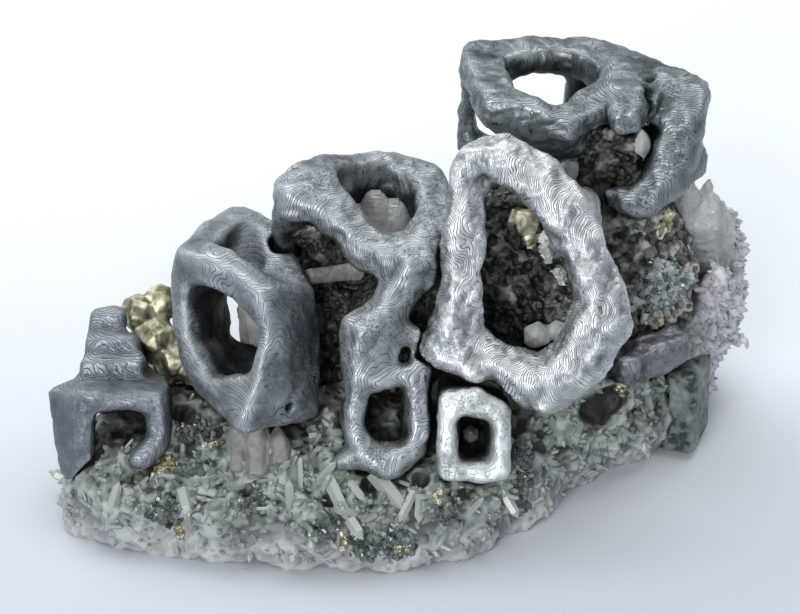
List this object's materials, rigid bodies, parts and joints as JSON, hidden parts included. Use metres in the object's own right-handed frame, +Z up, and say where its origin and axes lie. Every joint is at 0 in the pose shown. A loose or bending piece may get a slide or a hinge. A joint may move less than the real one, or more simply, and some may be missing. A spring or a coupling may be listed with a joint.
{
  "type": "skeletal galena specimen",
  "caption": "Mineral specimen: hollow, frame-like silvery galena cubes grown on a rough base of small quartz crystals, with dark sphalerite and brassy chalcopyrite.",
  "frame": {"origin": "on the surface it rests on, under the middle of its bounding box", "axes": "+Z up, +X along its length towards the tall end, -Y out of the side with the open frames"},
  "size_m": [0.0718, 0.0432, 0.0412],
  "materials": {
    "galena": "matt metallic lustre with fine growth lines",
    "quartz": "rough druse of small crystals",
    "smoky_quartz": "translucent, glossy faces",
    "sphalerite": "rough with small bright faces",
    "chalcopyrite": "faceted metallic lustre"
  },
  "bodies": {
    "root": {"quartz_matrix": "quartz", "sphalerite_crust": "sphalerite", "galena_top_frame": "galena", "galena_front_ring": "galena", "galena_middle_frame": "galena", "galena_left_frame": "galena", "galena_small_box": "galena", "galena_corner_frame": "galena", "galena_slab": "galena", "sphalerite_block": "sphalerite", "quartz_point_middle": "smoky_quartz", "quartz_blade": "smoky_quartz", "quartz_point_left": "smoky_quartz", "quartz_chunk_ring": "smoky_quartz", "quartz_chunk_top": "smoky_quartz", "quartz_under_top": "smoky_quartz", "quartz_in_small_box": "smoky_quartz", "quartz_big_right": "smoky_quartz", "chalcopyrite_left": "chalcopyrite", "chalcopyrite_in_ring": "chalcopyrite"}
  },
  "joints": []
}
